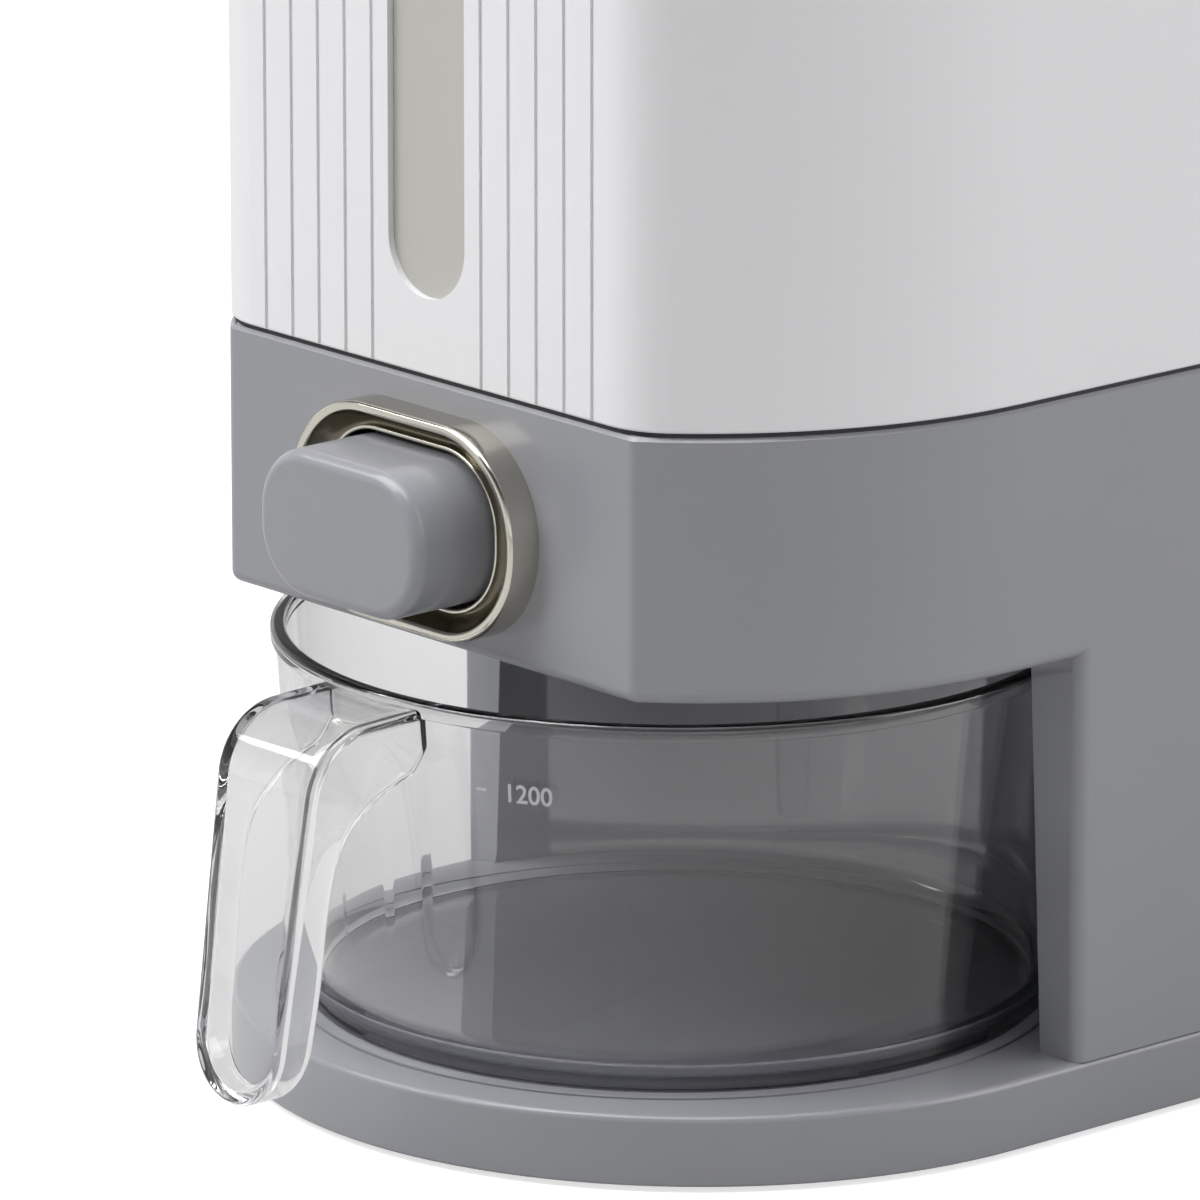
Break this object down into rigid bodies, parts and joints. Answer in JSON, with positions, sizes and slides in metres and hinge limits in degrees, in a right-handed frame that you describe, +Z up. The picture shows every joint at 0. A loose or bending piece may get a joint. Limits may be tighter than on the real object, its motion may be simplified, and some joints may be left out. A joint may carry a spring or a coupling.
{
  "type": "rice dispenser",
  "caption": "Grain dispenser: grooved container with window strip on a housing with push button, gate and open bay, and a clear measuring cup with hook handle.",
  "frame": {"origin": "on the table, at the middle of the overall width and of the overall depth from the cup's handle to the hinge", "axes": "+Z up, the front panel with the button faces -Y, +X to the right of someone who stands in front and looks along +Y"},
  "size_m": [0.2, 0.3634, 0.3873],
  "materials": {
    "grey_abs": "fine satin moulding, mid grey",
    "white_abs": "smooth satin-gloss moulding, cool white",
    "inner_white": "plain moulded polypropylene",
    "clear_cup": "clear, faintly smoky moulded plastic",
    "smoky_pane": "smoky translucent plastic",
    "gold_plating": "pale champagne-gold plating",
    "feet_rubber": "soft matt rubber",
    "dark_seal": "dark seal",
    "pale_silicone": "soft silicone",
    "screw_steel": "zinc-plated",
    "spring_steel": "drawn wire"
  },
  "bodies": {
    "dispenser": {"base_plate": "grey_abs", "bottom_cover": "grey_abs", "rubber_feet": "feet_rubber", "base_screws": "screw_steel", "housing_screws": "screw_steel", "housing": "grey_abs", "outlet_spout": "inner_white", "gate_guide": "inner_white", "guide_screws": "screw_steel", "hopper": "inner_white", "button_bezel": "gold_plating", "bezel_liner": "gold_plating", "left_return_spring": "spring_steel", "right_return_spring": "spring_steel", "seam_gasket": "dark_seal", "container": "white_abs", "window_pane": "smoky_pane", "hinge_pins": "screw_steel"},
    "button": {"button_cap": "grey_abs", "button_pusher": "inner_white", "gate_plate": "inner_white", "pusher_pins": "screw_steel"},
    "cup": {"measuring_cup": "clear_cup"},
    "lid": {"lid": "grey_abs", "lid_gasket": "pale_silicone"}
  },
  "joints": [
    {"name": "button_press", "type": "slide", "parent": "dispenser", "child": "button", "axis": [0, 1, 0], "range_m": [0, 0.012], "stiffness_N_per_m": 250, "springref_m": -0.004, "deforming": ["left_return_spring", "right_return_spring"]},
    {"name": "cup_slide", "type": "slide", "parent": "dispenser", "child": "cup", "axis": [0, -1, 0], "range_m": [0, 0.2]},
    {"name": "lid_open", "type": "hinge", "parent": "dispenser", "child": "lid", "pos_m": [0, 0.1777, 0.366], "axis": [-1, 0, 0], "range_deg": [0, 100]}
  ]
}
